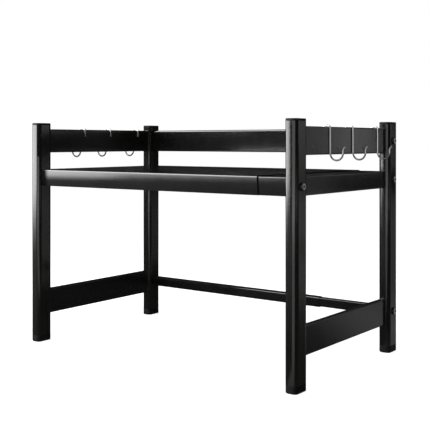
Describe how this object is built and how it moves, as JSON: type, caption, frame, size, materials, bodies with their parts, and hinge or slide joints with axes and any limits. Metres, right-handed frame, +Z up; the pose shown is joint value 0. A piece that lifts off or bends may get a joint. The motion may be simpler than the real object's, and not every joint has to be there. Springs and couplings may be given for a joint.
{
  "type": "microwave shelf",
  "caption": "Telescoping steel rack that bridges a countertop oven: nested sheet deck, side and back guard rails, upright posts with foot plugs, and wire utensil hooks.",
  "frame": {"origin": "on the floor under the middle of the rack, at the width shown in the picture", "axes": "+X along the shelf towards the half that slides out, +Y towards the back, +Z up"},
  "size_m": [0.6572, 0.366, 0.43],
  "materials": {
    "powder_coat": "satin",
    "black_plastic": "matte",
    "black_bolt": "black oxide",
    "hook_wire": "polished",
    "zinc_steel": "zinc plated"
  },
  "bodies": {
    "left_half": {"front_left_post": "powder_coat", "front_left_cap": "black_plastic", "front_left_foot": "black_plastic", "back_left_post": "powder_coat", "back_left_cap": "black_plastic", "back_left_foot": "black_plastic", "left_guard_rail": "powder_coat", "left_shelf_rail": "powder_coat", "left_lower_rail": "powder_coat", "left_shelf_pan": "powder_coat", "left_pan_channel": "powder_coat", "left_pan_brackets": "powder_coat", "left_back_guard_tube": "powder_coat", "left_rear_lower_tube": "powder_coat", "left_weld_nuts": "zinc_steel", "left_tube_plugs": "zinc_steel", "left_bolts": "black_bolt"},
    "right_half": {"front_right_post": "powder_coat", "front_right_cap": "black_plastic", "front_right_foot": "black_plastic", "back_right_post": "powder_coat", "back_right_cap": "black_plastic", "back_right_foot": "black_plastic", "right_guard_rail": "powder_coat", "right_shelf_rail": "powder_coat", "right_lower_rail": "powder_coat", "right_shelf_pan": "powder_coat", "right_pan_channel": "powder_coat", "right_pan_brackets": "powder_coat", "right_back_guard_tube": "powder_coat", "right_rear_lower_tube": "powder_coat", "right_weld_nuts": "zinc_steel", "right_tube_plugs": "zinc_steel", "right_bolts": "black_bolt"},
    "right_front_hook": {"right_front_hook": "hook_wire"},
    "right_middle_hook": {"right_middle_hook": "hook_wire"},
    "right_back_hook": {"right_back_hook": "hook_wire"},
    "left_front_hook": {"left_front_hook": "hook_wire"},
    "left_middle_hook": {"left_middle_hook": "hook_wire"},
    "left_back_hook": {"left_back_hook": "hook_wire"}
  },
  "joints": [
    {"name": "shelf_slide", "type": "slide", "parent": "left_half", "child": "right_half", "axis": [1, 0, 0], "range_m": [-0.052, 0.2]},
    {"name": "right_front_hook_slide", "type": "slide", "parent": "right_half", "child": "right_front_hook", "axis": [0, 1, 0], "range_m": [-0.08, 0.038]},
    {"name": "right_middle_hook_slide", "type": "slide", "parent": "right_half", "child": "right_middle_hook", "axis": [0, 1, 0], "range_m": [-0.038, 0.045]},
    {"name": "right_back_hook_slide", "type": "slide", "parent": "right_half", "child": "right_back_hook", "axis": [0, 1, 0], "range_m": [-0.045, 0.033]},
    {"name": "left_front_hook_slide", "type": "slide", "parent": "left_half", "child": "left_front_hook", "axis": [0, 1, 0], "range_m": [-0.091, 0.035]},
    {"name": "left_middle_hook_slide", "type": "slide", "parent": "left_half", "child": "left_middle_hook", "axis": [0, 1, 0], "range_m": [-0.037, 0.042]},
    {"name": "left_back_hook_slide", "type": "slide", "parent": "left_half", "child": "left_back_hook", "axis": [0, 1, 0], "range_m": [-0.042, 0.033]}
  ]
}
